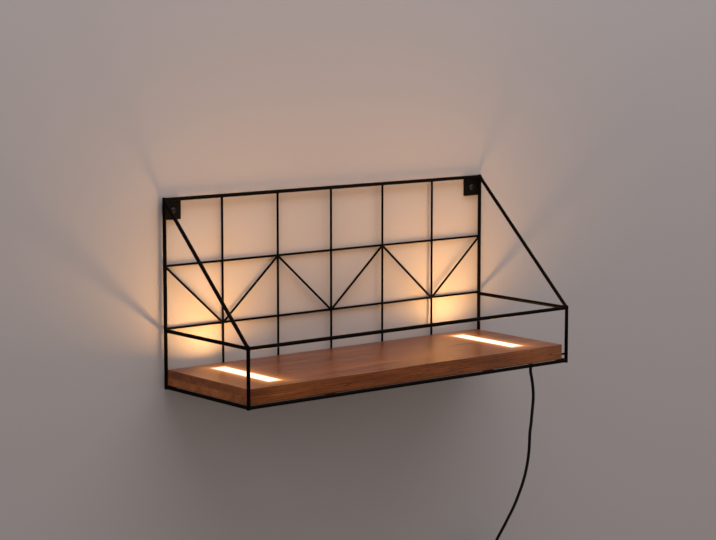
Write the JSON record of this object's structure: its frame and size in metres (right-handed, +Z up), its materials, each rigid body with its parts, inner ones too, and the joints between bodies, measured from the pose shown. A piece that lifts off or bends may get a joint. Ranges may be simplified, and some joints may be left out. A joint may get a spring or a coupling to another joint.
{
  "type": "wall lamp with shelf",
  "caption": "Black wire wall frame with a gallery and a wooden shelf board that has light strips let into its top, on a switched lead with a plug-in power supply.",
  "frame": {"origin": "on the wall plane, midway between the two wall screws", "axes": "+X along the wall to the right as the lamp is seen from the room, +Y into the wall along the screws, +Z up"},
  "size_m": [0.4688, 0.1845, 0.651],
  "materials": {
    "frame_paint": "semi-matt black powder coat",
    "grid_paint": "semi-matt black powder coat on thin wire",
    "plate_paint": "semi-matt black powder coat on flat plate",
    "screw_black": "black oxide",
    "board_wood": "oiled, brown, laminated staves",
    "tray_aluminium": "satin extruded",
    "led_board_white": "white solder mask",
    "led_phosphor": "yellow phosphor",
    "opal_lens": "opal, lit warm white",
    "black_plastic": "fine moulded texture",
    "connector_cream": "smooth moulded",
    "core_red": "smooth insulation",
    "cord_rubber": "black, slightly shiny",
    "tie_plastic": "woven strap, closed on itself",
    "rocker_gloss": "gloss moulded",
    "pin_steel": "ground",
    "contact_brass": "stamped",
    "pin_nickel": "nickel plated",
    "circuit_green": "green solder mask"
  },
  "bodies": {
    "lamp": {"back_top_rail": "frame_paint", "back_bottom_rail": "frame_paint", "left_upright": "frame_paint", "right_upright": "frame_paint", "left_gallery_rail": "frame_paint", "front_gallery_rail": "frame_paint", "right_gallery_rail": "frame_paint", "left_post": "frame_paint", "right_post": "frame_paint", "left_tray_rail": "frame_paint", "front_tray_rail": "frame_paint", "right_tray_rail": "frame_paint", "left_brace": "frame_paint", "right_brace": "frame_paint", "left_bearer": "frame_paint", "right_bearer": "frame_paint", "grid_vertical_1": "grid_paint", "grid_vertical_2": "grid_paint", "grid_vertical_3": "grid_paint", "grid_vertical_4": "grid_paint", "grid_vertical_5": "grid_paint", "grid_lower_bar": "grid_paint", "grid_upper_bar": "grid_paint", "grid_vee_left": "grid_paint", "grid_vee_middle": "grid_paint", "grid_vee_right": "grid_paint", "left_wall_plate": "plate_paint", "right_wall_plate": "plate_paint", "wall_screws": "screw_black", "shelf_board": "board_wood", "board_screws": "screw_black", "board_lock_screw": "screw_black", "left_strip_tray": "tray_aluminium", "right_strip_tray": "tray_aluminium", "left_led_board": "led_board_white", "right_led_board": "led_board_white", "led_chips": "led_phosphor", "left_lens": "opal_lens", "right_lens": "opal_lens", "wiring_cover": "black_plastic", "cover_screws": "screw_black", "wire_connector": "connector_cream", "inner_wires": "core_red", "cord_grip": "cord_rubber", "cord_drop": "cord_rubber", "cord_coil": "cord_rubber", "coil_tie": "tie_plastic", "cord_switch_lead": "cord_rubber", "cord_supply_lead": "cord_rubber", "switch_front_case": "black_plastic", "switch_back_case": "black_plastic", "rocker_pin": "pin_steel", "switch_contacts": "contact_brass", "supply_front_case": "black_plastic", "supply_back_case": "black_plastic", "supply_pins": "pin_nickel", "supply_circuit": "circuit_green"},
    "rocker": {"switch_rocker": "rocker_gloss"}
  },
  "joints": [
    {"name": "switch_rocker_tilt", "type": "hinge", "parent": "lamp", "child": "rocker", "pos_m": [0.2245, -0.02, -0.509], "axis": [1, 0, 0], "range_deg": [-16, 0]}
  ]
}
